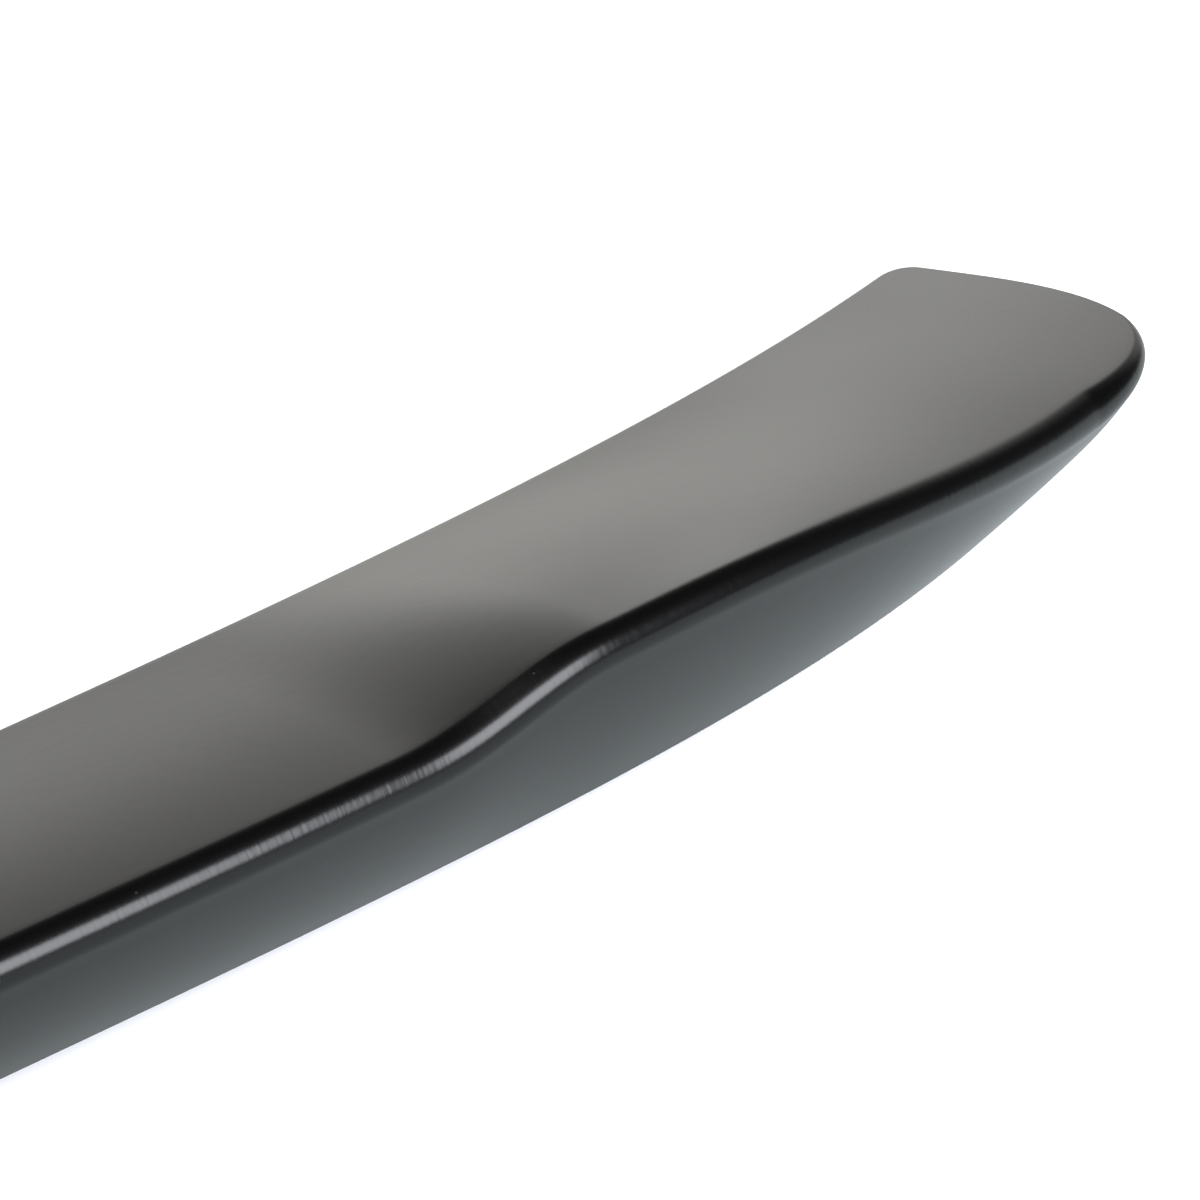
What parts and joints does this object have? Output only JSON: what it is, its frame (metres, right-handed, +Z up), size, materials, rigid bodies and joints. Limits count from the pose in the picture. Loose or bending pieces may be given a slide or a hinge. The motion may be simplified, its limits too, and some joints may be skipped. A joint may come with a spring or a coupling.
{
  "type": "rear spoiler",
  "caption": "Black moulded lip spoiler for a saloon boot lid, with a raised trailing lip that steps up towards each end and bonding lands underneath.",
  "frame": {"origin": "middle of the bounding box in plan, at the level of the lowest point of the underside", "axes": "+X to the car's right along the spoiler, +Y forward towards the front edge, +Z up"},
  "size_m": [1.242, 0.1742, 0.0652],
  "materials": {
    "black_plastic": null
  },
  "bodies": {
    "root": {"spoiler": "black_plastic"}
  },
  "joints": []
}
